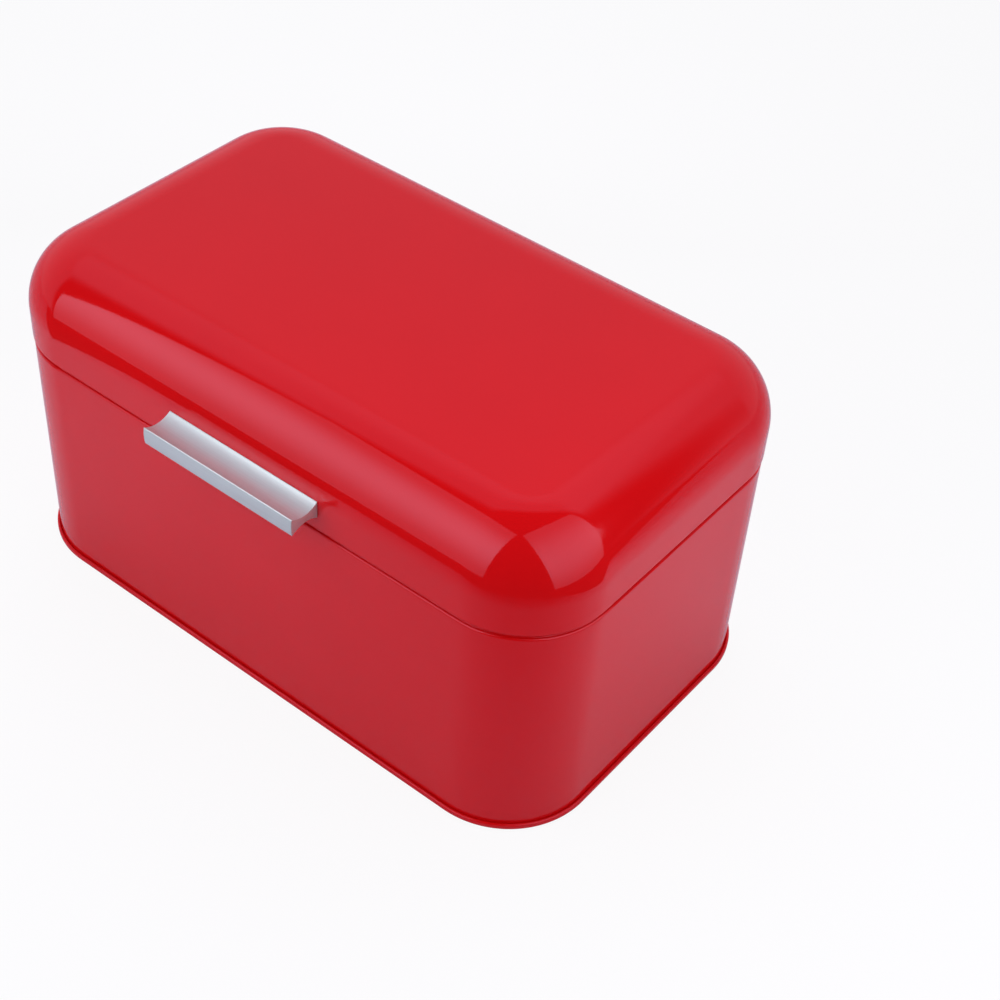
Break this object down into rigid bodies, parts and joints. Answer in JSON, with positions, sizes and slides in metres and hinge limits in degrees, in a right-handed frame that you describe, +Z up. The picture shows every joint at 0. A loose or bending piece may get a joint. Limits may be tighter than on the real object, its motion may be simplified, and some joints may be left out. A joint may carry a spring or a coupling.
{
  "type": "hinged storage tin",
  "caption": "Rectangular steel storage tin with rounded corners, a deep-drawn lid on rear stop hinges, a double-seamed base and an extruded aluminium front grip.",
  "frame": {"origin": "centre of the base seam's flat underside, on the plane that the tin stands on", "axes": "+X along the tin's length to its right, -Y towards the front with the grip, +Y towards the hinges, +Z up"},
  "size_m": [0.3052, 0.203, 0.16],
  "materials": {
    "red_enamel": "gloss baked enamel on steel sheet",
    "satin_aluminium": "satin anodised extrusion",
    "plated_steel": "bright zinc or nickel plate"
  },
  "bodies": {
    "tin_body": {"body_wall": "red_enamel", "base_panel": "red_enamel", "hinge_left_body_leaf": "plated_steel", "hinge_left_pin": "plated_steel", "hinge_left_body_rivets": "plated_steel", "hinge_left_body_washers": "plated_steel", "hinge_right_body_leaf": "plated_steel", "hinge_right_pin": "plated_steel", "hinge_right_body_rivets": "plated_steel", "hinge_right_body_washers": "plated_steel"},
    "lid": {"lid_shell": "red_enamel", "grip_bar": "satin_aluminium", "grip_screw_left": "plated_steel", "grip_washer_left": "plated_steel", "hinge_left_lid_leaf": "plated_steel", "hinge_left_lid_rivets": "plated_steel", "hinge_left_lid_washers": "plated_steel", "grip_screw_right": "plated_steel", "grip_washer_right": "plated_steel", "hinge_right_lid_leaf": "plated_steel", "hinge_right_lid_rivets": "plated_steel", "hinge_right_lid_washers": "plated_steel"}
  },
  "joints": [
    {"name": "lid_hinge", "type": "hinge", "parent": "tin_body", "child": "lid", "pos_m": [0, 0.09255, 0.116], "axis": [-1, 0, 0], "range_deg": [0, 100]}
  ]
}
